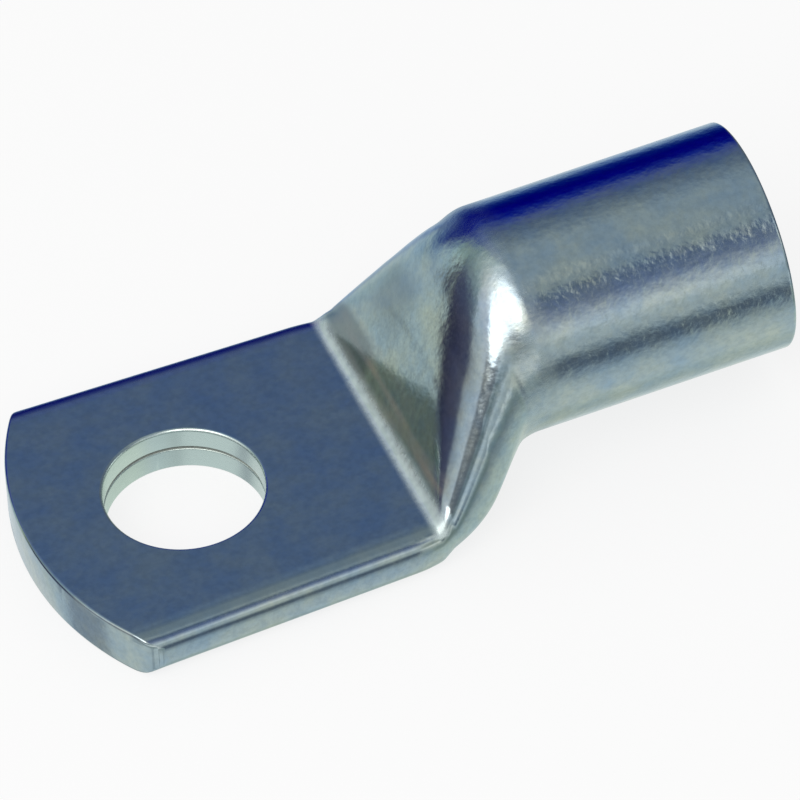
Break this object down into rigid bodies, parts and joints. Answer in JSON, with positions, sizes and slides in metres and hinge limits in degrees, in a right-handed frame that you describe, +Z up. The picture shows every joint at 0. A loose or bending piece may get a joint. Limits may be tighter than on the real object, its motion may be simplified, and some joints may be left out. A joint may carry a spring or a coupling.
{
  "type": "tubular cable lug",
  "caption": "Tin-plated copper cable lug: a round crimp barrel for a stranded conductor, pressed flat into a palm with a stud hole.",
  "frame": {"origin": "centre of the stud hole, on the palm's flat underside", "axes": "+X along the barrel towards its open mouth, +Y across the palm, +Z up from the palm's underside"},
  "size_m": [0.063, 0.0292, 0.0208],
  "materials": {
    "tin_plate": "bright tin plate over copper, softly brushed"
  },
  "bodies": {
    "root": {"cable_lug": "tin_plate"}
  },
  "joints": []
}
